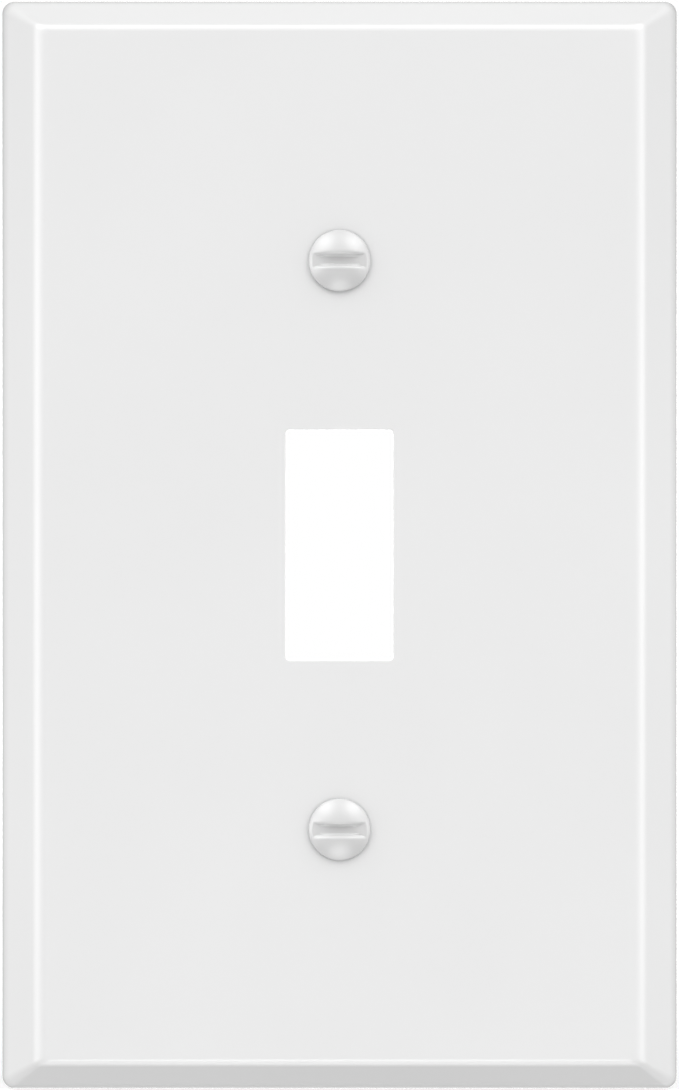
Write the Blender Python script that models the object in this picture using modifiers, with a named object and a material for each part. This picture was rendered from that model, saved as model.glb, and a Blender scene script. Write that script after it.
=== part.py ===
"""Wall plate cover for one toggle switch.

A pressed steel cover has a flat panel inside four bevelled borders, an opening for the
toggle and two dimpled screw holes. A slotted oval-head screw sits in each dimple, and a
nylon washer that grips its thread keeps it there while the cover is off the wall.

The wall plane is Y = 0, the front of the cover faces -Y and +Z is up. "Height" below is
the distance in front of the wall plane.
"""

import math

import bmesh
import bpy
from mathutils import Matrix

MM = 0.001

# Cover, outside
PLATE_WIDTH = 73.0 * MM
PLATE_HEIGHT = 117.5 * MM
PLATE_DEPTH = 5.6 * MM
SHEET = 0.8 * MM
OUTLINE_CORNER_RADIUS = 1.4 * MM
PANEL_CORNER_RADIUS = 0.6 * MM
INNER_CORNER_RADIUS = 0.3 * MM
CORNER_STEPS = 5

# Borders: the side borders are wider and flatter than the top and bottom ones
SIDE_BORDER_WIDTH = 5.5 * MM
SIDE_BEVEL_ANGLE = math.radians(45.0)
SIDE_SHOULDER_RADIUS = 2.45 * MM
END_BORDER_WIDTH = 4.25 * MM
END_BEVEL_ANGLE = math.radians(52.0)
END_SHOULDER_RADIUS = 1.27 * MM
RIM_ANGLE = math.radians(80.0)
RIM_LAND = 0.3 * MM
EDGE_STEPS = 4
SHOULDER_STEPS = 6

# Toggle opening
OPENING_WIDTH = 11.3 * MM
OPENING_HEIGHT = 24.4 * MM
OPENING_CORNER_RADIUS = 0.35 * MM

# Screws, No. 6-32 by half an inch
SCREW_SPACING = 60.325 * MM
SCREW_LENGTH = 12.7 * MM
THREAD_PITCH = 25.4 / 32 * MM
THREAD_MAJOR_RADIUS = 1.75 * MM
THREAD_MINOR_RADIUS = 1.30 * MM
TIP_RADIUS = 1.1 * MM
PLAIN_NECK = 0.5 * MM
HEAD_RADIUS = 3.25 * MM
HEAD_RIM_RISE = 0.25 * MM
HEAD_LAND = 0.12 * MM
DOME_HEIGHT = 1.10 * MM
DOME_STEPS = 7
CONE_HALF_ANGLE = math.radians(41.0)
SLOT_WIDTH = 1.2 * MM
SLOT_DEPTH = 0.85 * MM

# Dimples that the heads sit in
SEAT_CLEARANCE = 0.08 * MM
LIP_RADIUS = 0.8 * MM
LIP_STEPS = 4
DIMPLE_DEPTH = 1.7 * MM
CLEARANCE_HOLE_RADIUS = 2.0 * MM
BOSS_FILLET_RADIUS = 0.5 * MM
BOSS_FILLET_STEPS = 3

# Retaining washers
WASHER_RADIUS = 4.0 * MM
WASHER_BORE_RADIUS = 1.85 * MM
WASHER_THICKNESS = 0.8 * MM
WASHER_HEIGHT = 0.85 * MM
WASHER_CHAMFER = 0.12 * MM
NOTCH_RADIUS = 0.45 * MM
NOTCH_OFFSET = 2.15 * MM
NOTCH_COUNT = 4

TURN_STEPS = 32
MERGE = 0.00001
OVERSHOOT = 1.0 * MM

WHITE_ENAMEL = (0.83, 0.83, 0.82, 1.0)
NATURAL_NYLON = (0.72, 0.70, 0.63, 1.0)


class Border:
    """Cross-section of one border, as the inset from the outline at each height.

    It rises from the rim along a steep land, rounds over to a straight bevel, and ends in
    a rounded shoulder that runs into the flat panel.
    """

    def __init__(self, width, bevel_angle, shoulder_radius):
        self.width = width
        self.bevel_angle = bevel_angle
        self.shoulder_radius = shoulder_radius
        self.edge_radius = self.solve_edge_radius()
        self.edge_centre = (
            RIM_LAND * math.cos(RIM_ANGLE) + self.edge_radius * math.sin(RIM_ANGLE),
            RIM_LAND * math.sin(RIM_ANGLE) - self.edge_radius * math.cos(RIM_ANGLE),
        )
        self.shoulder_centre = (width, PLATE_DEPTH - shoulder_radius)

    def solve_edge_radius(self):
        """Radius of the rounding that lets the straight bevel meet both of its arcs."""
        sin_bevel, cos_bevel = math.sin(self.bevel_angle), math.cos(self.bevel_angle)
        run = self.width - RIM_LAND * math.cos(RIM_ANGLE) - self.shoulder_radius * sin_bevel
        rise = PLATE_DEPTH - RIM_LAND * math.sin(RIM_ANGLE) - self.shoulder_radius * (1 - cos_bevel)
        arc_run = math.sin(RIM_ANGLE) - sin_bevel
        arc_rise = cos_bevel - math.cos(RIM_ANGLE)
        return (rise * cos_bevel - run * sin_bevel) / (arc_rise * cos_bevel - arc_run * sin_bevel)

    def arc_point(self, centre, radius, angle):
        return centre[0] - radius * math.sin(angle), centre[1] + radius * math.cos(angle)

    def inset(self, height, thickness=0.0):
        """Inset at a height, on the surface that lies a sheet thickness inside the border."""
        edge_radius = self.edge_radius - thickness
        shoulder_radius = self.shoulder_radius - thickness
        rim_inset, rim_height = self.arc_point(self.edge_centre, edge_radius, RIM_ANGLE)
        low_inset, low_height = self.arc_point(self.edge_centre, edge_radius, self.bevel_angle)
        high_inset, high_height = self.arc_point(
            self.shoulder_centre, shoulder_radius, self.bevel_angle
        )
        if height <= rim_height:
            return rim_inset - (rim_height - height) / math.tan(RIM_ANGLE)
        if height <= low_height:
            cosine = (height - self.edge_centre[1]) / edge_radius
            return self.edge_centre[0] - edge_radius * math.sqrt(1 - cosine**2)
        if height <= high_height:
            share = (height - low_height) / (high_height - low_height)
            return low_inset + share * (high_inset - low_inset)
        cosine = min(1.0, (height - self.shoulder_centre[1]) / shoulder_radius)
        return self.shoulder_centre[0] - shoulder_radius * math.sqrt(1 - cosine**2)

    def heights(self, thickness=0.0):
        """Heights of the contours that draw this border's two arcs."""
        edge_radius = self.edge_radius - thickness
        shoulder_radius = self.shoulder_radius - thickness
        found = []
        for step in range(EDGE_STEPS + 1):
            angle = RIM_ANGLE + (self.bevel_angle - RIM_ANGLE) * step / EDGE_STEPS
            found.append(self.arc_point(self.edge_centre, edge_radius, angle)[1])
        for step in range(SHOULDER_STEPS + 1):
            angle = self.bevel_angle * (1 - step / SHOULDER_STEPS)
            found.append(self.arc_point(self.shoulder_centre, shoulder_radius, angle)[1])
        return found


def clear_scene():
    for obj in list(bpy.data.objects):
        bpy.data.objects.remove(obj, do_unlink=True)
    for collection in list(bpy.data.collections):
        bpy.data.collections.remove(collection)


def new_collection(name):
    collection = bpy.data.collections.new(name)
    bpy.context.scene.collection.children.link(collection)
    return collection


def new_material(name, colour, roughness, metallic):
    material = bpy.data.materials.new(name)
    material.use_nodes = True
    shader = material.node_tree.nodes["Principled BSDF"]
    shader.inputs["Base Color"].default_value = colour
    shader.inputs["Roughness"].default_value = roughness
    shader.inputs["Metallic"].default_value = metallic
    return material


def add_object(name, mesh, collection, parent=None, material=None):
    obj = bpy.data.objects.new(name, mesh)
    collection.objects.link(obj)
    obj.parent = parent
    if material:
        mesh.materials.append(material)
    return obj


def mesh_from_bmesh(name, bm):
    bmesh.ops.recalc_face_normals(bm, faces=bm.faces)
    mesh = bpy.data.meshes.new(name)
    bm.to_mesh(mesh)
    bm.free()
    return mesh


def shade_smooth_by_angle(mesh, degrees=30.0):
    mesh.shade_smooth()
    mesh.set_sharp_from_angle(angle=math.radians(degrees))


def as_cutter(obj):
    obj.display_type = "WIRE"
    obj.hide_render = True
    return obj


def apply_boolean(target, other, operation):
    modifier = target.modifiers.new(f"{operation.lower()}_{other.name}", "BOOLEAN")
    modifier.operation = operation
    modifier.solver = "EXACT"
    modifier.object = other


def rounded_rectangle(half_width, half_height, radius, height):
    """Corner points of one contour of the cover, counter-clockwise seen from the front."""
    points = []
    for corner, (side_x, side_z) in enumerate([(1, 1), (-1, 1), (-1, -1), (1, -1)]):
        centre_x = side_x * (half_width - radius)
        centre_z = side_z * (half_height - radius)
        for step in range(CORNER_STEPS + 1):
            angle = math.radians(90.0) * (corner + step / CORNER_STEPS)
            points.append(
                (centre_x + radius * math.cos(angle), -height, centre_z + radius * math.sin(angle))
            )
    return points


def loft(name, contours):
    """Closed solid through contours that have the same number of points."""
    bm = bmesh.new()
    rings = [[bm.verts.new(point) for point in contour] for contour in contours]
    count = len(rings[0])
    for lower, upper in zip(rings, rings[1:]):
        for i in range(count):
            j = (i + 1) % count
            bm.faces.new((lower[i], lower[j], upper[j], upper[i]))
    bm.faces.new(rings[0])
    bm.faces.new(rings[-1])
    return mesh_from_bmesh(name, bm)


def border_contour(side, end, height, radius, thickness=0.0):
    return rounded_rectangle(
        PLATE_WIDTH / 2 - side.inset(height, thickness),
        PLATE_HEIGHT / 2 - end.inset(height, thickness),
        radius,
        height,
    )


def outside_solid(side, end):
    heights = sorted({0.0, *(round(h, 7) for h in side.heights() + [end.heights()[EDGE_STEPS]])})
    contours = []
    for height in heights:
        share = height / PLATE_DEPTH
        radius = OUTLINE_CORNER_RADIUS + share * (PANEL_CORNER_RADIUS - OUTLINE_CORNER_RADIUS)
        contours.append(border_contour(side, end, height, radius))
    return loft("cover_plate", contours)


def hollow_solid(side, end):
    """Space behind the sheet, run out past the wall plane."""
    top = PLATE_DEPTH - SHEET
    marks = [h for h in side.heights(SHEET) if 0 < h < top] + [top]
    contours = []
    for height in [-OVERSHOOT] + sorted(marks):
        share = max(0.0, height) / top
        open_radius = OUTLINE_CORNER_RADIUS - SHEET
        radius = open_radius + share * (INNER_CORNER_RADIUS - open_radius)
        contours.append(border_contour(side, end, height, radius, SHEET))
    return loft("hollow", contours)


def turned(name, profile, collection, position_z, parent=None, material=None):
    """Solid of (radius, height) points turned about a hole's axis, which points to the front."""
    mesh = bpy.data.meshes.new(name)
    edges = [(i, i + 1) for i in range(len(profile) - 1)]
    if profile[0][0] > 0:
        edges.append((len(profile) - 1, 0))
    mesh.from_pydata([(radius, 0.0, height) for radius, height in profile], edges, [])
    obj = add_object(name, mesh, collection, parent, material)
    obj.location = (0.0, 0.0, position_z)
    obj.rotation_euler = (math.radians(90.0), 0.0, 0.0)
    screw = obj.modifiers.new("turn", "SCREW")
    screw.axis = "Z"
    screw.steps = TURN_STEPS
    screw.render_steps = TURN_STEPS
    screw.use_merge_vertices = True
    screw.merge_threshold = MERGE
    screw.use_smooth_shade = True
    return obj


def seat_radius(depth):
    """Radius of the dimple's cone at a depth under the panel."""
    lip_turn = math.radians(90.0) - CONE_HALF_ANGLE
    cone_top = LIP_RADIUS * (1 - math.cos(lip_turn))
    rim_radius = HEAD_RADIUS + SEAT_CLEARANCE / math.cos(CONE_HALF_ANGLE)
    top_radius = rim_radius - (HEAD_RIM_RISE + cone_top) * math.tan(CONE_HALF_ANGLE)
    return top_radius - (depth - cone_top) * math.tan(CONE_HALF_ANGLE)


def dimple_cutter_profile():
    """Space in front of the dimple: a rounded lip, a cone and the clearance hole."""
    lip_turn = math.radians(90.0) - CONE_HALF_ANGLE
    cone_top = LIP_RADIUS * (1 - math.cos(lip_turn))
    lip_centre = seat_radius(cone_top) + LIP_RADIUS * math.sin(lip_turn)
    points = [(0.0, PLATE_DEPTH + OVERSHOOT), (lip_centre, PLATE_DEPTH + OVERSHOOT)]
    first_turn = lip_turn / (2 * LIP_STEPS)
    for step in range(LIP_STEPS + 1):
        angle = first_turn + (lip_turn - first_turn) * step / LIP_STEPS
        points.append(
            (
                lip_centre - LIP_RADIUS * math.sin(angle),
                PLATE_DEPTH - LIP_RADIUS * (1 - math.cos(angle)),
            )
        )
    hole_depth = (seat_radius(0.0) - CLEARANCE_HOLE_RADIUS) / math.tan(CONE_HALF_ANGLE)
    points.append((CLEARANCE_HOLE_RADIUS, PLATE_DEPTH - hole_depth))
    points.append((CLEARANCE_HOLE_RADIUS, -OVERSHOOT))
    points.append((0.0, -OVERSHOOT))
    return points


def boss_profile():
    """Back of the dimple: a cone one sheet outside the seat, filleted into the panel."""
    wall = SHEET / math.cos(CONE_HALF_ANGLE)
    fillet_turn = math.radians(90.0) - CONE_HALF_ANGLE
    fillet_bottom = SHEET + BOSS_FILLET_RADIUS * (1 - math.cos(fillet_turn))
    fillet_centre = seat_radius(fillet_bottom) + wall + BOSS_FILLET_RADIUS * math.sin(fillet_turn)
    middle = PLATE_DEPTH - SHEET / 2
    points = [(0.0, middle), (fillet_centre, middle)]
    first_turn = fillet_turn / (2 * BOSS_FILLET_STEPS)
    for step in range(BOSS_FILLET_STEPS + 1):
        angle = first_turn + (fillet_turn - first_turn) * step / BOSS_FILLET_STEPS
        points.append(
            (
                fillet_centre - BOSS_FILLET_RADIUS * math.sin(angle),
                PLATE_DEPTH - SHEET - BOSS_FILLET_RADIUS * (1 - math.cos(angle)),
            )
        )
    end_height = PLATE_DEPTH - DIMPLE_DEPTH
    points.append((seat_radius(DIMPLE_DEPTH) + wall, end_height))
    points.append((0.0, end_height))
    return points


def screw_profile():
    """Domed head, cone, short neck and thread, from the top of the dome to the tip."""
    rim_height = PLATE_DEPTH + HEAD_RIM_RISE
    dome_base = rim_height + HEAD_LAND
    sphere_radius = (HEAD_RADIUS**2 + DOME_HEIGHT**2) / (2 * DOME_HEIGHT)
    dome_angle = math.asin(HEAD_RADIUS / sphere_radius)
    points = []
    for step in range(DOME_STEPS + 1):
        angle = dome_angle * step / DOME_STEPS
        drop = sphere_radius * (1 - math.cos(angle))
        points.append((sphere_radius * math.sin(angle), dome_base + DOME_HEIGHT - drop))
    points.append((HEAD_RADIUS, rim_height))

    neck_top = rim_height - (HEAD_RADIUS - THREAD_MAJOR_RADIUS) / math.tan(CONE_HALF_ANGLE)
    tip = rim_height - SCREW_LENGTH
    tip_chamfer = THREAD_MAJOR_RADIUS - TIP_RADIUS
    points.append((THREAD_MAJOR_RADIUS, neck_top))
    ridge = neck_top - PLAIN_NECK
    while ridge - THREAD_PITCH > tip + tip_chamfer:
        points.append((THREAD_MAJOR_RADIUS, ridge))
        points.append((THREAD_MINOR_RADIUS, ridge - THREAD_PITCH / 2))
        ridge -= THREAD_PITCH
    points.append((THREAD_MAJOR_RADIUS, ridge))
    points.append((THREAD_MAJOR_RADIUS, tip + tip_chamfer))
    points.append((TIP_RADIUS, tip))
    points.append((0.0, tip))
    return points


def washer_profile():
    low, high = WASHER_HEIGHT, WASHER_HEIGHT + WASHER_THICKNESS
    return [
        (WASHER_RADIUS - WASHER_CHAMFER, high),
        (WASHER_RADIUS, high - WASHER_CHAMFER),
        (WASHER_RADIUS, low + WASHER_CHAMFER),
        (WASHER_RADIUS - WASHER_CHAMFER, low),
        (WASHER_BORE_RADIUS, low),
        (WASHER_BORE_RADIUS, high),
    ]


def new_box(size, centre):
    bm = bmesh.new()
    bmesh.ops.create_cube(bm, size=1.0)
    bmesh.ops.scale(bm, vec=size, verts=bm.verts)
    bmesh.ops.translate(bm, vec=centre, verts=bm.verts)
    return bm


def make_cover_plate(parts, cutters, enamel):
    side = Border(SIDE_BORDER_WIDTH, SIDE_BEVEL_ANGLE, SIDE_SHOULDER_RADIUS)
    end = Border(END_BORDER_WIDTH, END_BEVEL_ANGLE, END_SHOULDER_RADIUS)
    mesh = outside_solid(side, end)
    shade_smooth_by_angle(mesh)
    plate = add_object("cover_plate", mesh, parts, material=enamel)

    hollow = as_cutter(add_object("hollow", hollow_solid(side, end), cutters))
    apply_boolean(plate, hollow, "DIFFERENCE")

    for name, position in screw_positions():
        boss = as_cutter(turned(f"{name}_boss", boss_profile(), cutters, position))
        apply_boolean(plate, boss, "UNION")
    for name, position in screw_positions():
        dimple = as_cutter(turned(f"{name}_dimple", dimple_cutter_profile(), cutters, position))
        apply_boolean(plate, dimple, "DIFFERENCE")

    bm = new_box(
        (OPENING_WIDTH, PLATE_DEPTH + 2 * OVERSHOOT, OPENING_HEIGHT),
        (0.0, -PLATE_DEPTH / 2, 0.0),
    )
    corners = [e for e in bm.edges if abs(e.verts[0].co.y - e.verts[1].co.y) > PLATE_DEPTH]
    bmesh.ops.bevel(bm, geom=corners, offset=OPENING_CORNER_RADIUS, segments=3, profile=0.5,
                    affect="EDGES")
    opening = as_cutter(add_object("opening", mesh_from_bmesh("opening", bm), cutters))
    apply_boolean(plate, opening, "DIFFERENCE")
    return plate


def make_screw(name, position, parts, cutters, enamel):
    screw = turned(name, screw_profile(), parts, position, material=enamel)
    slot_top = PLATE_DEPTH + HEAD_RIM_RISE + HEAD_LAND + DOME_HEIGHT
    bm = new_box(
        (2 * HEAD_RADIUS + 2 * OVERSHOOT, SLOT_WIDTH, SLOT_DEPTH + OVERSHOOT),
        (0.0, 0.0, slot_top + (OVERSHOOT - SLOT_DEPTH) / 2),
    )
    slot_name = f"{name}_slot"
    slot = as_cutter(add_object(slot_name, mesh_from_bmesh(slot_name, bm), cutters, parent=screw))
    apply_boolean(screw, slot, "DIFFERENCE")
    return screw


def make_washer(name, position, parts, cutters, nylon):
    washer = turned(name, washer_profile(), parts, position, material=nylon)
    for index in range(NOTCH_COUNT):
        angle = 2 * math.pi * (index + 0.5) / NOTCH_COUNT
        bm = bmesh.new()
        bmesh.ops.create_cone(
            bm, cap_ends=True, segments=12, radius1=NOTCH_RADIUS, radius2=NOTCH_RADIUS,
            depth=WASHER_THICKNESS + 2 * OVERSHOOT,
            matrix=Matrix.Translation(
                (
                    NOTCH_OFFSET * math.cos(angle),
                    NOTCH_OFFSET * math.sin(angle),
                    WASHER_HEIGHT + WASHER_THICKNESS / 2,
                )
            ),
        )
        notch_name = f"{name}_notch_{index + 1}"
        mesh = mesh_from_bmesh(notch_name, bm)
        notch = as_cutter(add_object(notch_name, mesh, cutters, parent=washer))
        apply_boolean(washer, notch, "DIFFERENCE")
    return washer


def screw_positions():
    return [("upper_screw", SCREW_SPACING / 2), ("lower_screw", -SCREW_SPACING / 2)]


def main():
    clear_scene()
    parts = new_collection("wall_plate_cover")
    cutters = new_collection("cutters")
    enamel = new_material("white_enamel", WHITE_ENAMEL, 0.25, 0.0)
    screw_enamel = new_material("screw_enamel", WHITE_ENAMEL, 0.22, 0.0)
    nylon = new_material("nylon", NATURAL_NYLON, 0.45, 0.0)

    make_cover_plate(parts, cutters, enamel)
    for name, position in screw_positions():
        make_screw(name, position, parts, cutters, screw_enamel)
        make_washer(f"{name}_washer", position, parts, cutters, nylon)


main()
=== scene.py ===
"""Looks of a white enamelled toggle switch cover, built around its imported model."""

import math

import bmesh
import bpy
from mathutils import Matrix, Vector


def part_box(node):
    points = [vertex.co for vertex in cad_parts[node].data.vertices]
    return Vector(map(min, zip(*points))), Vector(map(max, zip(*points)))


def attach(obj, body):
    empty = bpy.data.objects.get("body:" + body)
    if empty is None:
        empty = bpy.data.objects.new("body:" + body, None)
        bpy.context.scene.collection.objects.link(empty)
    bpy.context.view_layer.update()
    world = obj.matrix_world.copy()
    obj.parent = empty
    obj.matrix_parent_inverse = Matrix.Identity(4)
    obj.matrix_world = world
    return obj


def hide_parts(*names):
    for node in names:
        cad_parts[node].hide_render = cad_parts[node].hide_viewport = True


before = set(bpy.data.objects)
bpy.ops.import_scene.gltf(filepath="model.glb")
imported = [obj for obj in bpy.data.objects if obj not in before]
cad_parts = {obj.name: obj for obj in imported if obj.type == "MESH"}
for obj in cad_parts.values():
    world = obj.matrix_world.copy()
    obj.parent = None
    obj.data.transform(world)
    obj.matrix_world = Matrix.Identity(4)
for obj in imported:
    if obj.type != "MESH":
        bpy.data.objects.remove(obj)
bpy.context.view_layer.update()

MM = 0.001

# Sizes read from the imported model
PLATE_LOW, PLATE_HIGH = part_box("cover_plate")
HALF_WIDTH = (PLATE_HIGH[0] - PLATE_LOW[0]) / 2
HALF_HEIGHT = (PLATE_HIGH[2] - PLATE_LOW[2]) / 2
DEPTH = -PLATE_LOW[1]
SCREW_LOW, SCREW_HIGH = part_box("upper_screw")
SCREW_AXIS_Z = (SCREW_LOW[2] + SCREW_HIGH[2]) / 2
HEAD_RADIUS = (SCREW_HIGH[0] - SCREW_LOW[0]) / 2
SCREW_TIP = -SCREW_HIGH[1]
WASHER_LOW, WASHER_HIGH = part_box("upper_screw_washer")
WASHER_RADIUS = (WASHER_HIGH[0] - WASHER_LOW[0]) / 2

# Cover, pressed from sheet
SHEET = 0.8 * MM
CORNER_RADII = (1.4 * MM, 0.6 * MM)
INNER_CORNER_RADII = (0.6 * MM, 0.3 * MM)
SIDE_BORDER = dict(width=5.5 * MM, bevel_angle=math.radians(45.0), shoulder_radius=2.45 * MM)
END_BORDER = dict(width=4.25 * MM, bevel_angle=math.radians(52.0), shoulder_radius=1.27 * MM)
RIM_ANGLE = math.radians(80.0)
RIM_LAND = 0.3 * MM
RIM_ROUNDING = 0.10 * MM
OPENING_HALF_WIDTH = 5.65 * MM
OPENING_HALF_HEIGHT = 12.2 * MM
OPENING_CORNER_RADIUS = 0.35 * MM
OPENING_FRONT_ROUNDING = 0.18 * MM
OPENING_BACK_ROUNDING = 0.06 * MM
SUPPORT = 0.03 * MM
MERGE_HEIGHT = 0.0015 * MM

# Dimples
SEAT_ANGLE = math.radians(41.0)
SEAT_CLEARANCE = 0.08 * MM
LIP_RADIUS = 0.8 * MM
DIMPLE_DEPTH = 1.7 * MM
CLEARANCE_HOLE_RADIUS = 2.0 * MM
BOSS_FILLET_RADIUS = 0.5 * MM
HOLE_ROUNDING = 0.08 * MM
# Middle points of the two roundings at the boss's end, as shares of HOLE_ROUNDING
HOLE_EDGE_MIDDLE = 0.29
BOSS_EDGE_MIDDLE = (0.20, 0.25)

# Screws
HEAD_RIM_RISE = 0.25 * MM
HEAD_LAND = 0.12 * MM
DOME_HEIGHT = 1.10 * MM
HEAD_EDGE_ROUNDING = 0.16 * MM
HEAD_EDGE_DROP = 0.10 * MM
HEAD_RIM_STRIP = 0.01 * MM
HEAD_RIM_CHAMFER = 0.005 * MM
HEAD_BACK_SHARE = 0.97
SLOT_HALF_WIDTH = 0.58 * MM
SLOT_DEPTH = 0.85 * MM
SLOT_TOP_ROUNDING = 0.40 * MM
SLOT_BOTTOM_ROUNDING = 0.14 * MM
SLOT_DRAFT = 0.12 * MM
THREAD_MAJOR_RADIUS = 1.75 * MM
THREAD_MINOR_RADIUS = 1.30 * MM
THREAD_PITCH = 25.4 / 32 * MM
# Crest and root as shares of the pitch
CREST_SHARE = 0.125
ROOT_SHARE = 0.2
RUN_OUT_TURNS = 0.7
THREAD_CLEARANCE = 0.03 * MM
TIP_RADIUS = 1.1 * MM
PLAIN_NECK = 0.5 * MM
NECK_EASING = 0.1 * MM
SHANK_INSET = 0.02 * MM

UNDERSIDE = DEPTH + HEAD_RIM_RISE
DOME_TOP = UNDERSIDE + HEAD_LAND + DOME_HEIGHT
NECK_TOP = UNDERSIDE - (HEAD_RADIUS - THREAD_MAJOR_RADIUS) / math.tan(SEAT_ANGLE)
THREAD_TOP = NECK_TOP - PLAIN_NECK

# Washers
WASHER_BORE_RADIUS = 1.85 * MM
WASHER_ROUNDING = 0.15 * MM
BORE_ROUNDING_SHARE = 0.5
NOTCH_DEPTH = 0.75 * MM
NOTCH_COUNT = 4
NOTCH_START = 0.55
NOTCH_SQUARENESS = 0.6

# How finely the round shapes are divided
CORNER_STEPS = 10
ARC_STEPS = 12
ROUNDING_STEPS = 4
OPENING_FRONT_STEPS = 6
OPENING_BACK_STEPS = 3
TURN_STEPS = 96
DOME_STEPS = 26
HEAD_COLUMNS = 48
SLOT_EDGE_STEPS = 10
SLOT_CORNER_STEPS = 5
SLOT_FLAT_STEPS = 4
SHANK_SIDES = 72
STEPS_PER_TURN = 16
WASHER_STEPS = 192
SAME_POINT = 1e-8
NEAR_POINT = 1e-7
FLAT_END = 0.99

# Enamel
PLATE_WHITE = (0.83, 0.83, 0.83)
# The heads' enamel is really the same white as the plate's; this darker grey is painted shade that dims
# the whole head
HEAD_WHITE_WITH_PAINTED_SHADE = (0.72, 0.72, 0.72)
ENAMEL_ROUGHNESS = 0.23
ENAMEL_ROUGHNESS_DRIFT = 0.03
ENAMEL_DARKEST = 0.985
ENAMEL_IOR = 1.5
COAT_ROUGHNESS = 0.12
DRIFT_SIZE = 22 * MM
SHEEN_SIZE = 3 * MM
RIPPLE_SIZE = 4 * MM
RIPPLE_HEIGHT = 0.004 * MM
PEEL_SIZE = 0.6 * MM
PEEL_HEIGHT = 0.0012 * MM
NOISE_RANGE = (0.3, 0.7)
# A Mix node's colour sockets share their names with others, so they go by number
MIX_FACTOR, MIX_A, MIX_B, MIX_RESULT = 0, 6, 7, 2

# Stage
CAMERA_DISTANCE = 0.304
CAMERA_CLIP = (0.01, 20.0)
OUTLINE_SHARE_OF_FRAME = 0.9968
FLOOR_HALF_SIZE = 1.0
FLOOR_TONE = (0.8, 0.8, 0.8)
FLOOR_ROUGHNESS = (0.65, 0.75)
FLOOR_GRAIN = 50 * MM
FLOOR_GLOW = 0.42
WHITE = (1.0, 1.0, 1.0, 1.0)

# Soft boxes: azimuth from the front, elevation, brightness. The first set stands in pairs, to
# the right and the left; the second stands in the middle.
PAIRED_BOXES = (
    (45, 45, 3.75),
    (60, 0, 2.25),
    (90, 0, 0.50),
    (90, -30, 0.30),
    (120, 0, 0.35),
    (120, -30, 0.25),
    (120, -60, 0.80),
    (150, 0, 0.35),
)
MIDDLE_BOXES = (
    (0, -60, 2.35),
    (180, -30, 0.75),
    (180, 30, 0.40),
    (180, 60, 0.45),
)
# A box's light falls off as exp(sharpness * (cosine of the angle from its middle - 1))
SOFT_BOX_SHARPNESS = 14
BACK_BOX_BRIGHTNESS = 8.5
BACK_BOX_SHARPNESS = 40

# Round soft boxes that light some pieces only: azimuth, elevation, half angle, brightness
ROUND_BOX_DISTANCE = 1.2
PLATE_BOXES = ((-15, 62, 10.0, 0.95), (0, 64, 11.5, 1.25), (0, -31, 11.0, 2.10))
HEAD_BOXES = ((-60, 0, 22.0, 0.48), (0, -60, 22.0, 0.35))


def arc(start, end, steps):
    """Evenly spaced angles from start to end, both included."""
    return [start + (end - start) * i / steps for i in range(steps + 1)]


def on_arc(centre, radius, angle):
    """(inset, height) point of a border's rounding, where its slope is the angle."""
    return centre[0] - radius * math.sin(angle), centre[1] + radius * math.cos(angle)


class Border:
    """Cross-section of one border, as the inset from the outline at each height."""

    def __init__(self, width, bevel_angle, shoulder_radius):
        sin_bevel, cos_bevel = math.sin(bevel_angle), math.cos(bevel_angle)
        sin_rim, cos_rim = math.sin(RIM_ANGLE), math.cos(RIM_ANGLE)
        run = width - RIM_LAND * cos_rim - shoulder_radius * sin_bevel
        rise = DEPTH - RIM_LAND * sin_rim - shoulder_radius * (1 - cos_bevel)
        scale = (cos_bevel - cos_rim) * cos_bevel - (sin_rim - sin_bevel) * sin_bevel
        self.bevel_angle = bevel_angle
        self.edge_radius = (rise * cos_bevel - run * sin_bevel) / scale
        self.edge_centre = (
            RIM_LAND * cos_rim + self.edge_radius * sin_rim,
            RIM_LAND * sin_rim - self.edge_radius * cos_rim,
        )
        self.shoulder_radius = shoulder_radius
        self.shoulder_centre = (width, DEPTH - shoulder_radius)

    def inset(self, height, thickness=0.0):
        """Inset of the outside at a height, or of the hollow's wall, one thickness further in."""
        edge_radius = self.edge_radius - thickness
        shoulder_radius = self.shoulder_radius - thickness
        rim_inset, rim_height = on_arc(self.edge_centre, edge_radius, RIM_ANGLE)
        low_inset, low_height = on_arc(self.edge_centre, edge_radius, self.bevel_angle)
        high_inset, high_height = on_arc(self.shoulder_centre, shoulder_radius, self.bevel_angle)
        if height <= rim_height:
            return rim_inset - (rim_height - height) / math.tan(RIM_ANGLE)
        if height <= low_height:
            cosine = (height - self.edge_centre[1]) / edge_radius
            return self.edge_centre[0] - edge_radius * math.sqrt(1 - cosine**2)
        if height <= high_height:
            share = (height - low_height) / (high_height - low_height)
            return low_inset + share * (high_inset - low_inset)
        cosine = min(1.0, (height - self.shoulder_centre[1]) / shoulder_radius)
        return self.shoulder_centre[0] - shoulder_radius * math.sqrt(1 - cosine**2)

    def heights(self, thickness=0.0):
        """Heights where the profile bends, from the rim up."""
        edge = [
            on_arc(self.edge_centre, self.edge_radius - thickness, a)[1]
            for a in arc(RIM_ANGLE, self.bevel_angle, ARC_STEPS)
        ]
        shoulder = [
            on_arc(self.shoulder_centre, self.shoulder_radius - thickness, a)[1]
            for a in arc(self.bevel_angle, 0.0, ARC_STEPS)
        ]
        low, high = edge[-1], shoulder[0]
        return edge + [low + SUPPORT, high - SUPPORT] + shoulder


SIDE = Border(**SIDE_BORDER)
END = Border(**END_BORDER)


def rounded_rectangle(half_width, half_height, radius, height):
    """Closed loop of points around the plate's middle, at a height above the wall."""
    points = []
    for corner, (side_x, side_z) in enumerate([(1, 1), (-1, 1), (-1, -1), (1, -1)]):
        for angle in arc(0.0, math.pi / 2, CORNER_STEPS):
            turned = angle + corner * math.pi / 2
            points.append(
                (
                    side_x * (half_width - radius) + radius * math.cos(turned),
                    -height,
                    side_z * (half_height - radius) + radius * math.sin(turned),
                )
            )
    return points


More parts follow.
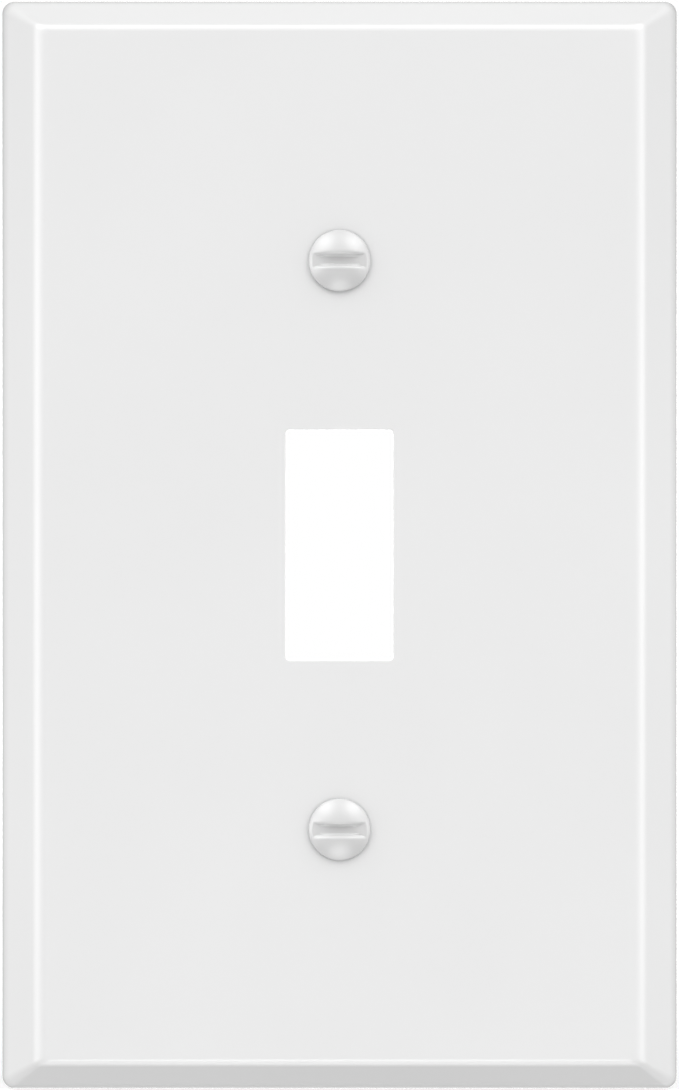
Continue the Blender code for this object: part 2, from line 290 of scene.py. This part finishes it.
def around(angle, radius, height, centre_z):
    """Point at an angle around the axis at centre_z."""
    return radius * math.cos(angle), -height, centre_z + radius * math.sin(angle)


def circle(radius, height, centre_z, steps=TURN_STEPS):
    return [around(a, radius, height, centre_z) for a in arc(0.0, 2 * math.pi, steps)[:-1]]


class Skin:
    """A mesh put together from rows of points, joined one to the next."""

    def __init__(self):
        self.bm = bmesh.new()

    def row(self, points):
        return [self.bm.verts.new(p) for p in points]

    def strip(self, one, two):
        """Faces between two open rows with the same number of points."""
        for i in range(len(one) - 1):
            self.bm.faces.new((one[i], one[i + 1], two[i + 1], two[i]))

    def band(self, one, two):
        """Faces between two closed loops with the same number of points."""
        self.strip(one, two)
        self.bm.faces.new((one[-1], one[0], two[0], two[-1]))

    def chain(self, contours):
        """Joins closed loops in bands; returns the first loop and the last."""
        loops = [self.row(contour) for contour in contours]
        for one, two in zip(loops, loops[1:]):
            self.band(one, two)
        return loops[0], loops[-1]

    def fill(self, *loops):
        """Flat face inside the first loop and around the others."""
        edges = [self.bm.edges.get((loop[i - 1], loop[i])) for loop in loops for i in range(len(loop))]
        bmesh.ops.triangle_fill(self.bm, edges=edges, use_beauty=True)

    def cap(self, loop):
        self.bm.faces.new(loop)

    def to_object(self, name, material):
        bmesh.ops.remove_doubles(self.bm, verts=self.bm.verts, dist=SAME_POINT)
        bmesh.ops.recalc_face_normals(self.bm, faces=self.bm.faces)
        mesh = bpy.data.meshes.new(name)
        self.bm.to_mesh(mesh)
        self.bm.free()
        mesh.shade_smooth()
        mesh.materials.append(material)
        obj = bpy.data.objects.new(name, mesh)
        bpy.context.scene.collection.objects.link(obj)
        return obj


def border_contour(height, radii, thickness=0.0, extra=0.0, top=DEPTH):
    """Loop around the cover or its hollow at a height. The corners' radius goes from the first
    of the radii at the wall to the second at the top."""
    share = min(1.0, max(0.0, height) / top)
    return rounded_rectangle(
        HALF_WIDTH - SIDE.inset(height, thickness) - extra,
        HALF_HEIGHT - END.inset(height, thickness) - extra,
        radii[0] + share * (radii[1] - radii[0]),
        height,
    )


def rim_rounding(inwards):
    """(extra inset, height) points that round one edge of the rim, from the flat to the wall."""
    points = []
    for t in arc(0.0, 1.0, ROUNDING_STEPS):
        flat = (1 - t) ** 2 * RIM_ROUNDING
        wall = t**2 * RIM_ROUNDING
        points.append((inwards * flat, wall * math.sin(RIM_ANGLE)))
    return points


def contour_heights(thickness, top):
    """Heights where either border's profile bends, the nearly equal ones merged."""
    heights = [top]
    for height in sorted(SIDE.heights(thickness) + END.heights(thickness), reverse=True):
        if RIM_ROUNDING < height < heights[-1] - MERGE_HEIGHT:
            heights.append(height)
    return heights[::-1]


def border_skin():
    """Contours from the back of the panel, down the hollow, round the rim and up the front."""
    back = DEPTH - SHEET
    inner = contour_heights(SHEET, back)
    outer = contour_heights(0.0, DEPTH)
    contours = [border_contour(back, INNER_CORNER_RADII, SHEET, SUPPORT, back)]
    contours += [border_contour(h, INNER_CORNER_RADII, SHEET, 0.0, back) for h in reversed(inner)]
    for extra, height in reversed(rim_rounding(-1)):
        contours.append(border_contour(height, INNER_CORNER_RADII, SHEET, extra, back))
    for extra, height in rim_rounding(1):
        contours.append(border_contour(height, CORNER_RADII, 0.0, extra))
    contours += [border_contour(h, CORNER_RADII) for h in outer]
    contours.append(border_contour(DEPTH, CORNER_RADII, 0.0, SUPPORT))
    return contours


def opening_skin():
    """Contours from the front panel through the toggle opening to the back of the panel."""
    back = DEPTH - SHEET
    steps = [(OPENING_FRONT_ROUNDING + SUPPORT, DEPTH)]
    for angle in arc(0.0, math.pi / 2, OPENING_FRONT_STEPS):
        steps.append(
            (
                OPENING_FRONT_ROUNDING * (1 - math.sin(angle)),
                DEPTH - OPENING_FRONT_ROUNDING * (1 - math.cos(angle)),
            )
        )
    for angle in arc(0.0, math.pi / 2, OPENING_BACK_STEPS):
        steps.append(
            (
                OPENING_BACK_ROUNDING * (1 - math.cos(angle)),
                back + OPENING_BACK_ROUNDING * (1 - math.sin(angle)),
            )
        )
    steps.append((OPENING_BACK_ROUNDING + SUPPORT, back))
    return [
        rounded_rectangle(
            OPENING_HALF_WIDTH + offset,
            OPENING_HALF_HEIGHT + offset,
            OPENING_CORNER_RADIUS + offset,
            height,
        )
        for offset, height in steps
    ]


def seat_radius(depth):
    """Radius of a dimple's cone at a depth under the panel."""
    rim_radius = HEAD_RADIUS + SEAT_CLEARANCE / math.cos(SEAT_ANGLE)
    return rim_radius - (depth + HEAD_RIM_RISE) * math.tan(SEAT_ANGLE)


def dimple_skin(centre_z):
    """Circles from the front panel over the lip, down the cone, and back up the boss."""
    turn = math.pi / 2 - SEAT_ANGLE
    lip_centre = seat_radius(LIP_RADIUS * (1 - math.cos(turn))) + LIP_RADIUS * math.sin(turn)
    steps = [(lip_centre + SUPPORT, DEPTH)]
    for angle in arc(0.0, turn, ARC_STEPS):
        steps.append(
            (lip_centre - LIP_RADIUS * math.sin(angle), DEPTH - LIP_RADIUS * (1 - math.cos(angle)))
        )
    hole = CLEARANCE_HOLE_RADIUS
    cone_end = (seat_radius(0.0) - hole) / math.tan(SEAT_ANGLE)
    boss_end = DEPTH - DIMPLE_DEPTH
    wall = SHEET / math.cos(SEAT_ANGLE)
    boss_radius = seat_radius(DIMPLE_DEPTH) + wall
    edge = HOLE_ROUNDING
    flare = edge * math.tan(SEAT_ANGLE)
    steps += [
        (hole + flare, DEPTH - cone_end + edge),
        (hole + flare / 4, DEPTH - cone_end),
        (hole, DEPTH - cone_end - edge),
        (hole, boss_end + edge),
        (hole + edge * HOLE_EDGE_MIDDLE, boss_end + edge * HOLE_EDGE_MIDDLE),
        (hole + edge, boss_end),
        (boss_radius - edge, boss_end),
        (boss_radius - edge * BOSS_EDGE_MIDDLE[0], boss_end + edge * BOSS_EDGE_MIDDLE[1]),
        (boss_radius + flare, boss_end + edge),
    ]
    fillet_bottom = SHEET + BOSS_FILLET_RADIUS * (1 - math.cos(turn))
    fillet_centre = seat_radius(fillet_bottom) + wall + BOSS_FILLET_RADIUS * math.sin(turn)
    for angle in arc(turn, 0.0, ARC_STEPS):
        steps.append(
            (
                fillet_centre - BOSS_FILLET_RADIUS * math.sin(angle),
                DEPTH - SHEET - BOSS_FILLET_RADIUS * (1 - math.cos(angle)),
            )
        )
    steps.append((fillet_centre + SUPPORT, DEPTH - SHEET))
    return [circle(radius, height, centre_z) for radius, height in steps]


def make_plate(material):
    skin = Skin()
    back_edge, front_edge = skin.chain(border_skin())
    front_holes, back_holes = [], []
    for contours in (opening_skin(), dimple_skin(SCREW_AXIS_Z), dimple_skin(-SCREW_AXIS_Z)):
        first, last = skin.chain(contours)
        front_holes.append(first)
        back_holes.append(last)
    skin.fill(front_edge, *front_holes)
    skin.fill(back_edge, *back_holes)
    plate = skin.to_object("plate", material)
    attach(plate, "cover")
    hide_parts("cover_plate")
    return plate


def dome_height(radius):
    """Height of the painted dome above the wall plane, its edge rounded over."""
    sphere = (HEAD_RADIUS**2 + DOME_HEIGHT**2) / (2 * DOME_HEIGHT)
    height = DOME_TOP - sphere + math.sqrt(sphere**2 - radius**2)
    over = max(0.0, 1 - (HEAD_RADIUS - radius) / HEAD_EDGE_ROUNDING)
    return height - HEAD_EDGE_DROP * (1 - math.sqrt(max(0.0, 1 - over**2)))


def slot_rows():
    """(distance from the slot's middle, drop) rows over one half of the head, where drop
    turns the slot's local depth into how far the row lies under the dome."""
    outer = SLOT_HALF_WIDTH + SLOT_TOP_ROUNDING
    wall_foot = SLOT_HALF_WIDTH - SLOT_DRAFT
    floor_edge = wall_foot - SLOT_BOTTOM_ROUNDING
    rows = []
    for t in arc(math.pi / 2, math.asin(outer / HEAD_RADIUS), DOME_STEPS):
        rows.append((HEAD_RADIUS * math.sin(t), lambda depth: 0.0))
    for angle in arc(0.0, math.pi / 2, SLOT_EDGE_STEPS)[1:]:
        across = outer - SLOT_TOP_ROUNDING * math.sin(angle)
        drop = SLOT_TOP_ROUNDING * (1 - math.cos(angle))
        rows.append((across, lambda depth, drop=drop: min(drop, depth)))
    for t in arc(0.0, 1.0, SLOT_FLAT_STEPS)[1:]:
        rows.append(
            (
                SLOT_HALF_WIDTH - SLOT_DRAFT * t,
                lambda depth, t=t: min(
                    SLOT_TOP_ROUNDING
                    + t * max(0.0, depth - SLOT_BOTTOM_ROUNDING - SLOT_TOP_ROUNDING),
                    depth,
                ),
            )
        )
    for angle in arc(0.0, math.pi / 2, SLOT_CORNER_STEPS)[1:]:
        across = wall_foot - SLOT_BOTTOM_ROUNDING * (1 - math.cos(angle))
        left = SLOT_BOTTOM_ROUNDING * (1 - math.sin(angle))
        rows.append((across, lambda depth, left=left: max(min(SLOT_TOP_ROUNDING, depth), depth - left)))
    for t in arc(1.0, 0.0, SLOT_FLAT_STEPS)[1:]:
        rows.append((floor_edge * t, lambda depth: depth))
    return rows


def head_surface(centre_z):
    """Rows of points over the painted face of a head, from its top edge to its bottom edge."""
    half = slot_rows()
    rows = half + [(-across, drop) for across, drop in reversed(half[:-1])]
    floor = DOME_TOP - SLOT_DEPTH
    grid = []
    for across, drop in rows:
        chord = math.sqrt(max(0.0, HEAD_RADIUS**2 - across**2))
        points = []
        for angle in arc(-math.pi / 2, math.pi / 2, HEAD_COLUMNS):
            along = chord * math.sin(angle)
            dome = dome_height(min(HEAD_RADIUS, math.hypot(along, across)))
            height = dome - drop(max(0.0, dome - floor))
            points.append((along, -height, centre_z + across))
        grid.append(points)
    return grid


def make_head(name, body, centre_z, material):
    skin = Skin()
    grid = [skin.row(points) for points in head_surface(centre_z)]
    for one, two in zip(grid, grid[1:]):
        skin.strip(one, two)
    rim = [row[0] for row in grid] + [row[-1] for row in reversed(grid)]
    lower = []
    for scale, height in (
        (1.0, UNDERSIDE + HEAD_RIM_STRIP),
        (1.0 - HEAD_RIM_CHAMFER / HEAD_RADIUS, UNDERSIDE),
        (HEAD_BACK_SHARE, UNDERSIDE),
    ):
        points = [(v.co.x * scale, -height, centre_z + (v.co.z - centre_z) * scale) for v in rim]
        lower.append(skin.row(points))
    for one, two in zip([rim] + lower, lower):
        skin.band(one, two)
    skin.cap(lower[-1])
    bmesh.ops.dissolve_degenerate(skin.bm, dist=NEAR_POINT, edges=skin.bm.edges)
    head = skin.to_object(f"{name}_head", material)
    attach(head, body)
    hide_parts(name)
    return head


def thread_profile(phase):
    """Share of the thread's height at a phase between 0 and 1 of its pitch."""
    flank = (1 - CREST_SHARE - ROOT_SHARE) / 2
    away = abs(phase - 0.5)
    return min(1.0, max(0.0, 1 - (away - CREST_SHARE / 2) / flank))


def thread_radius(share, height):
    """Radius at a share of the thread's height, run out at its top and chamfered at the tip."""
    run_out = min(1.0, (THREAD_TOP - height) / (RUN_OUT_TURNS * THREAD_PITCH))
    crest = THREAD_MAJOR_RADIUS - THREAD_CLEARANCE * run_out
    root = crest - (crest - THREAD_MINOR_RADIUS) * run_out
    return min(root + (crest - root) * share, TIP_RADIUS + height - SCREW_TIP)


def thread_rows(centre_z):
    """Rows of points once round the shank, each a step further down the helix than the last."""
    turns = (THREAD_TOP - SCREW_TIP) / THREAD_PITCH
    rows = []
    for step in range(int((turns + 1) * STEPS_PER_TURN) + 1):
        share = thread_profile(step / STEPS_PER_TURN % 1.0)
        points = []
        for i in range(SHANK_SIDES):
            height = THREAD_TOP + THREAD_PITCH * (i / SHANK_SIDES - step / STEPS_PER_TURN)
            height = min(THREAD_TOP, max(SCREW_TIP, height))
            angle = 2 * math.pi * i / SHANK_SIDES
            points.append(around(angle, thread_radius(share, height), height, centre_z))
        rows.append(points)
    return rows


def make_shank(name, body, centre_z, material):
    """Cone under the head, plain neck and a right-handed thread down to the chamfered tip."""
    skin = Skin()
    sections = [
        (HEAD_RADIUS - SHANK_INSET, UNDERSIDE - SHANK_INSET),
        (THREAD_MAJOR_RADIUS + NECK_EASING, NECK_TOP + NECK_EASING / math.tan(SEAT_ANGLE)),
        (THREAD_MAJOR_RADIUS, NECK_TOP - NECK_EASING),
        (THREAD_MAJOR_RADIUS, THREAD_TOP),
    ]
    widest = skin.chain([circle(r, h, centre_z, SHANK_SIDES) for r, h in sections])[0]
    skin.cap(widest)
    grid = [skin.row(points) for points in thread_rows(centre_z)]
    for step, (one, two) in enumerate(zip(grid, grid[1:])):
        skin.strip(one, two)
        start, end = (grid[max(0, row - STEPS_PER_TURN)][0] for row in (step, step + 1))
        if start is not end:
            skin.bm.faces.new((one[-1], start, end, two[-1]))
        elif step + 1 == STEPS_PER_TURN:
            skin.bm.faces.new((one[-1], start, two[-1]))
    bmesh.ops.remove_doubles(skin.bm, verts=skin.bm.verts, dist=NEAR_POINT)
    bmesh.ops.holes_fill(skin.bm, edges=[e for e in skin.bm.edges if e.is_boundary], sides=0)
    shank = skin.to_object(f"{name}_shank", material)
    for face in shank.data.polygons:
        face.use_smooth = abs(face.normal.y) < FLAT_END
    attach(shank, body)
    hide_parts(name)


def bore_radius(angle):
    """Washer's bore: round, with rounded relief notches between the parts that grip."""
    wave = math.cos(NOTCH_COUNT * (angle - math.pi / NOTCH_COUNT))
    share = max(0.0, (wave - NOTCH_START) / (1 - NOTCH_START)) ** NOTCH_SQUARENESS
    return WASHER_BORE_RADIUS + NOTCH_DEPTH * share


def washer_section():
    """(inset, height) points from the washer's front round its two edges to its back."""
    low, high = -WASHER_HIGH[1], -WASHER_LOW[1]
    quarter = [
        (WASHER_ROUNDING * (1 - math.sin(a)), WASHER_ROUNDING * (1 - math.cos(a)))
        for a in arc(0.0, math.pi / 2, ROUNDING_STEPS)
    ]
    front = [(inset, high - down) for inset, down in quarter]
    back = [(inset, low + up) for up, inset in quarter]
    return front + back


def make_washer(name, body, centre_z, material):
    section = washer_section()
    rings = [circle(WASHER_RADIUS - inset, height, centre_z, WASHER_STEPS) for inset, height in section]
    for inset, height in reversed(section):
        rings.append(
            [
                around(a, bore_radius(a) + inset * BORE_ROUNDING_SHARE, height, centre_z)
                for a in arc(0.0, 2 * math.pi, WASHER_STEPS)[:-1]
            ]
        )
    skin = Skin()
    first, last = skin.chain(rings)
    skin.band(last, first)
    washer = skin.to_object(name + "_nylon", material)
    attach(washer, body)
    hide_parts(name)


class Nodes:
    """A material's node tree with short calls for adding and joining nodes."""

    def __init__(self, name, colour, roughness, metallic=0.0):
        self.material = bpy.data.materials.new(name)
        self.material.use_nodes = True
        self.tree = self.material.node_tree
        self.shader = self.tree.nodes["Principled BSDF"]
        self.shader.inputs["Base Color"].default_value = (*colour, 1.0)
        self.shader.inputs["Roughness"].default_value = roughness
        self.shader.inputs["Metallic"].default_value = metallic
        self.place = self.add("ShaderNodeTexCoord").outputs["Object"]

    def add(self, kind, inputs=None, **settings):
        node = self.tree.nodes.new(kind)
        for key, value in settings.items():
            setattr(node, key, value)
        for key, value in (inputs or {}).items():
            if isinstance(value, bpy.types.NodeSocket):
                self.tree.links.new(value, node.inputs[key])
            else:
                node.inputs[key].default_value = value
        return node

    def noise(self, size, detail=2.0):
        """Noise whose features are about this size, in metres."""
        return self.add(
            "ShaderNodeTexNoise", {"Vector": self.place, "Scale": 1 / size, "Detail": detail}
        ).outputs["Fac"]

    def spread(self, value, low, high):
        """Maps noise around one half to the range from low to high."""
        return self.add(
            "ShaderNodeMapRange",
            {
                "Value": value,
                "From Min": NOISE_RANGE[0],
                "From Max": NOISE_RANGE[1],
                "To Min": low,
                "To Max": high,
            },
        ).outputs["Result"]

    def mix(self, factor, colour_a, colour_b):
        node = self.add("ShaderNodeMix", data_type="RGBA")
        self.tree.links.new(factor, node.inputs[MIX_FACTOR])
        node.inputs[MIX_A].default_value = (*colour_a, 1.0)
        node.inputs[MIX_B].default_value = (*colour_b, 1.0)
        return node.outputs[MIX_RESULT]

    def bump(self, height, distance, under=None):
        inputs = {"Height": height, "Distance": distance, "Strength": 1.0}
        if under:
            inputs["Normal"] = under
        return self.add("ShaderNodeBump", inputs).outputs["Normal"]

    def wire(self, socket, value):
        self.tree.links.new(value, self.shader.inputs[socket])


def enamel_material(name, colour):
    """Glossy white enamel: a faint orange peel over slow ripples, and a tiny tone drift."""
    nodes = Nodes(name, colour, ENAMEL_ROUGHNESS)
    nodes.shader.inputs["IOR"].default_value = ENAMEL_IOR
    nodes.shader.inputs["Coat Weight"].default_value = 1.0
    nodes.shader.inputs["Coat Roughness"].default_value = COAT_ROUGHNESS
    drift = nodes.noise(DRIFT_SIZE, 3.0)
    darker = tuple(c * ENAMEL_DARKEST for c in colour)
    nodes.wire("Base Color", nodes.mix(nodes.spread(drift, 0.0, 1.0), darker, colour))
    smoothest = ENAMEL_ROUGHNESS - ENAMEL_ROUGHNESS_DRIFT
    roughest = ENAMEL_ROUGHNESS + ENAMEL_ROUGHNESS_DRIFT
    nodes.wire("Roughness", nodes.spread(nodes.noise(SHEEN_SIZE, 3.0), smoothest, roughest))
    ripple = nodes.bump(nodes.noise(RIPPLE_SIZE, 1.0), RIPPLE_HEIGHT)
    nodes.wire("Normal", nodes.bump(nodes.noise(PEEL_SIZE, 2.0), PEEL_HEIGHT, under=ripple))
    return nodes.material


def mottled_material(name, colours, roughnesses, metallic, cloud, smudge, grain, grain_height):
    """Colour and roughness in patches over a fine grain. Colours and roughnesses run from low
    over middle to high; cloud, smudge and grain are each a noise's size and detail."""
    dark, middle, light = colours
    smoothest, usual, roughest = roughnesses
    nodes = Nodes(name, middle, usual, metallic)
    patches = nodes.spread(nodes.noise(*cloud), 0.0, 1.0)
    nodes.wire("Base Color", nodes.mix(patches, dark, light))
    nodes.wire("Roughness", nodes.spread(nodes.noise(*smudge), smoothest, roughest))
    nodes.wire("Normal", nodes.bump(nodes.noise(*grain), grain_height))
    return nodes.material


def zinc_material():
    """Bright zinc plating with fine rolling marks from the thread die."""
    return mottled_material(
        "screw_zinc",
        colours=((0.56, 0.57, 0.58), (0.62, 0.63, 0.64), (0.70, 0.71, 0.72)),
        roughnesses=(0.24, 0.33, 0.42),
        metallic=1.0,
        cloud=(1.5 * MM, 4.0),
        smudge=(0.4 * MM, 4.0),
        grain=(0.12 * MM, 3.0),
        grain_height=0.004 * MM,
    )


def nylon_material():
    """Natural nylon: satin, slightly milky."""
    return mottled_material(
        "nylon",
        colours=((0.70, 0.68, 0.61), (0.74, 0.72, 0.66), (0.78, 0.76, 0.70)),
        roughnesses=(0.38, 0.45, 0.52),
        metallic=0.0,
        cloud=(2.0 * MM, 3.0),
        smudge=(0.5 * MM, 3.0),
        grain=(0.15 * MM, 3.0),
        grain_height=0.003 * MM,
    )


def towards(azimuth, elevation):
    """Unit vector away from the cover; azimuth 0 points to the front, 90 to the right."""
    a, e = math.radians(azimuth), math.radians(elevation)
    return Vector((math.sin(a) * math.cos(e), -math.cos(a) * math.cos(e), math.sin(e)))


def make_camera():
    data = bpy.data.cameras.new("camera")
    camera = bpy.data.objects.new("camera", data)
    bpy.context.scene.collection.objects.link(camera)
    camera.location = (0.0, -CAMERA_DISTANCE, 0.0)
    camera.rotation_euler = (math.pi / 2, 0.0, 0.0)
    half_frame = HALF_HEIGHT / OUTLINE_SHARE_OF_FRAME
    data.lens = data.sensor_width / 2 * CAMERA_DISTANCE / half_frame
    data.clip_start, data.clip_end = CAMERA_CLIP
    bpy.context.scene.camera = camera


def make_world():
    """Light from soft boxes at the directions above, with a plain white background behind."""
    world = bpy.data.worlds.new("studio")
    bpy.context.scene.world = world
    world.use_nodes = True
    tree = world.node_tree
    tree.nodes.clear()

    def math_node(operation, *inputs):
        node = tree.nodes.new("ShaderNodeMath")
        node.operation = operation
        for socket, value in zip(node.inputs, inputs):
            if isinstance(value, bpy.types.NodeSocket):
                tree.links.new(value, socket)
            else:
                socket.default_value = value
        return node.outputs[0]

    place = tree.nodes.new("ShaderNodeTexCoord")
    boxes = [(180, 0, BACK_BOX_BRIGHTNESS, BACK_BOX_SHARPNESS)]
    for azimuth, elevation, brightness in MIDDLE_BOXES:
        boxes.append((azimuth, elevation, brightness, SOFT_BOX_SHARPNESS))
    for azimuth, elevation, brightness in PAIRED_BOXES:
        for side in (1, -1):
            boxes.append((side * azimuth, elevation, brightness, SOFT_BOX_SHARPNESS))
    total = 0.0
    for azimuth, elevation, brightness, sharpness in boxes:
        dot = tree.nodes.new("ShaderNodeVectorMath")
        dot.operation = "DOT_PRODUCT"
        dot.inputs[1].default_value = towards(azimuth, elevation)
        tree.links.new(place.outputs["Generated"], dot.inputs[0])
        power = math_node("MULTIPLY_ADD", dot.outputs["Value"], sharpness, -sharpness)
        total = math_node("MULTIPLY_ADD", math_node("EXPONENT", power), brightness, total)
    light = tree.nodes.new("ShaderNodeBackground")
    white = tree.nodes.new("ShaderNodeBackground")
    path = tree.nodes.new("ShaderNodeLightPath")
    mix = tree.nodes.new("ShaderNodeMixShader")
    out = tree.nodes.new("ShaderNodeOutputWorld")
    light.inputs["Color"].default_value = WHITE
    white.inputs["Color"].default_value = WHITE
    tree.links.new(total, light.inputs["Strength"])
    tree.links.new(path.outputs["Is Camera Ray"], mix.inputs[0])
    tree.links.new(light.outputs[0], mix.inputs[1])
    tree.links.new(white.outputs[0], mix.inputs[2])
    tree.links.new(mix.outputs[0], out.inputs[0])


def add_round_box(name, pieces, azimuth, elevation, half_angle, brightness):
    """Round soft box that lights only the given pieces. A disk's power is pi times its area
    times its brightness."""
    radius = ROUND_BOX_DISTANCE * math.tan(math.radians(half_angle))
    data = bpy.data.lights.new(name, "AREA")
    data.shape = "DISK"
    data.size = 2 * radius
    data.energy = brightness * math.pi * math.pi * radius**2
    light = bpy.data.objects.new(name, data)
    light.location = towards(azimuth, elevation) * ROUND_BOX_DISTANCE
    light.rotation_euler = (-light.location).to_track_quat("-Z", "Y").to_euler()
    light.visible_camera = False
    bpy.context.scene.collection.objects.link(light)
    lit = bpy.data.collections.new(f"lit_by_{name}")
    for piece in pieces:
        lit.objects.link(piece)
    light.light_linking.receiver_collection = lit


def make_floor():
    """Pale floor under the cover's lower edge. It takes shadows and sends no light back."""
    skin = Skin()
    size, z = FLOOR_HALF_SIZE, -HALF_HEIGHT
    corners = ((-size, -size, z), (size, -size, z), (size, size, z), (-size, size, z))
    skin.cap(skin.row(corners))
    nodes = Nodes("floor", FLOOR_TONE, sum(FLOOR_ROUGHNESS) / 2)
    nodes.shader.inputs["Specular IOR Level"].default_value = 0.0
    nodes.shader.inputs["Emission Color"].default_value = WHITE
    nodes.shader.inputs["Emission Strength"].default_value = FLOOR_GLOW
    nodes.wire("Roughness", nodes.spread(nodes.noise(FLOOR_GRAIN), *FLOOR_ROUGHNESS))
    floor = skin.to_object("floor", nodes.material)
    floor.visible_diffuse = False
    floor.visible_glossy = False
    floor.visible_transmission = False
    floor.visible_shadow = False


def main():
    make_camera()
    make_world()
    make_floor()
    bpy.context.scene.view_settings.view_transform = "Standard"
    plate = make_plate(enamel_material("plate_enamel", PLATE_WHITE))
    for i, box in enumerate(PLATE_BOXES):
        add_round_box(f"plate_box_{i}", [plate], *box)
    # The heads get the darker grey: painted shade over the plate's own white enamel
    screw_enamel = enamel_material("screw_enamel", HEAD_WHITE_WITH_PAINTED_SHADE)
    zinc = zinc_material()
    nylon = nylon_material()
    heads = []
    for side, centre_z in (("upper", SCREW_AXIS_Z), ("lower", -SCREW_AXIS_Z)):
        heads.append(make_head(f"{side}_screw", f"{side}_screw", centre_z, screw_enamel))
        make_shank(f"{side}_screw", f"{side}_screw", centre_z, zinc)
        make_washer(f"{side}_screw_washer", f"{side}_washer", centre_z, nylon)
    for i, box in enumerate(HEAD_BOXES):
        add_round_box(f"head_box_{i}", heads, *box)


main()
